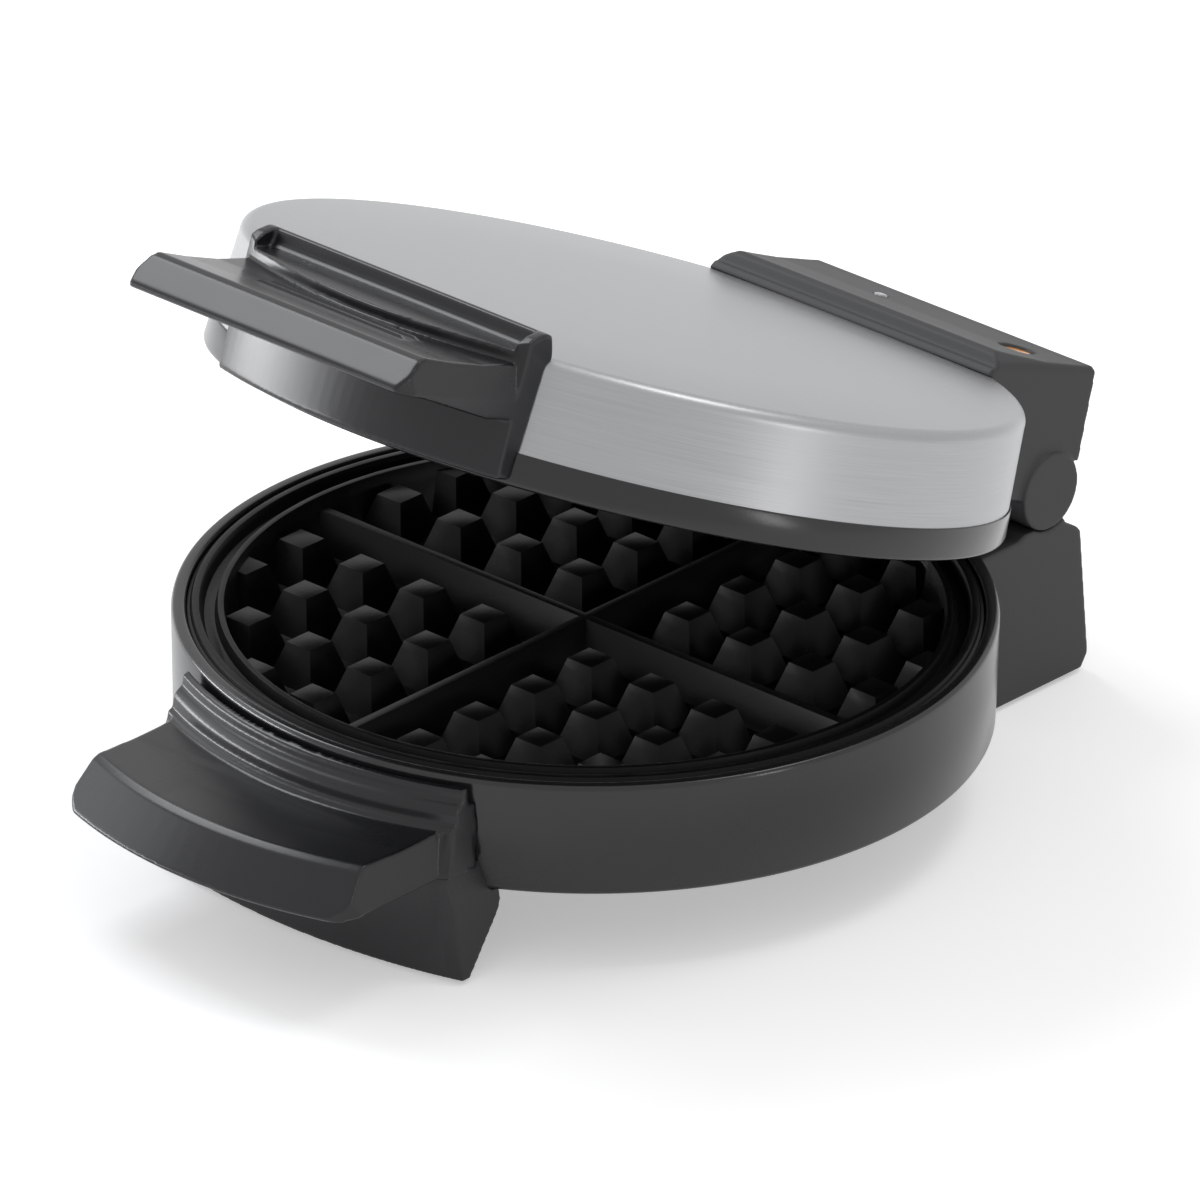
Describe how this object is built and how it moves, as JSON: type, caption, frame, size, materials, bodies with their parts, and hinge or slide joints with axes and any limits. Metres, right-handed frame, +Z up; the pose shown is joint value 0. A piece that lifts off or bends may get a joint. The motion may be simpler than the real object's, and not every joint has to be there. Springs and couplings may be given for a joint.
{
  "type": "waffle maker",
  "caption": "Round electric waffle maker with a brushed metal lid on a rear hinge, gridded non-stick plates, front grips and a raised base on a leg and a rear hinge tower.",
  "frame": {"origin": "middle of the footprint, on the table", "axes": "+Z up, +Y towards the hinge at the rear, +X to the right seen from the front"},
  "size_m": [0.22, 0.3048, 0.1792],
  "materials": {
    "charcoal": "fine satin moulding",
    "black_satin": "smooth satin-gloss moulding",
    "brushed_cover": "brushed sheet",
    "nonstick": "cast plate with black non-stick coating",
    "tube_steel": "sheathed tube and bent strip",
    "sheet_aluminium": "plain sheet",
    "white_insulator": "glazed insulator",
    "black_rubber": "matt",
    "fastener_steel": "zinc plated",
    "amber_lens": "translucent amber",
    "clear_lens": "translucent clear",
    "lamp_glass": "small glass lamp"
  },
  "bodies": {
    "base": {"base_housing": "charcoal", "bottom_cover": "charcoal", "bottom_screws": "fastener_steel", "base_handle": "black_satin", "base_handle_screws": "fastener_steel", "hinge_tower": "charcoal", "tower_screws": "fastener_steel", "hinge_pins": "fastener_steel", "cord_gland": "black_rubber", "terminal_block": "white_insulator", "rubber_feet": "black_rubber", "lower_grid_plate": "nonstick", "lower_heating_element": "tube_steel", "lower_element_clips": "tube_steel", "lower_heat_reflector": "sheet_aluminium", "thermostat": "sheet_aluminium", "thermal_fuse": "white_insulator"},
    "lid": {"lid_cover": "brushed_cover", "lid_ring": "charcoal", "lid_handle": "black_satin", "lid_handle_screws": "fastener_steel", "lid_hinge_block": "charcoal", "hinge_block_screws": "fastener_steel", "ready_light_lens": "amber_lens", "power_light_lens": "clear_lens", "indicator_lamps": "lamp_glass", "upper_grid_plate": "nonstick", "upper_heating_element": "tube_steel", "upper_element_clips": "tube_steel", "upper_heat_reflector": "sheet_aluminium"}
  },
  "joints": [
    {"name": "lid_hinge", "type": "hinge", "parent": "base", "child": "lid", "pos_m": [0, 0.13137, 0.0593], "axis": [-1, 0, 0], "range_deg": [-20.3, 74.7]}
  ]
}
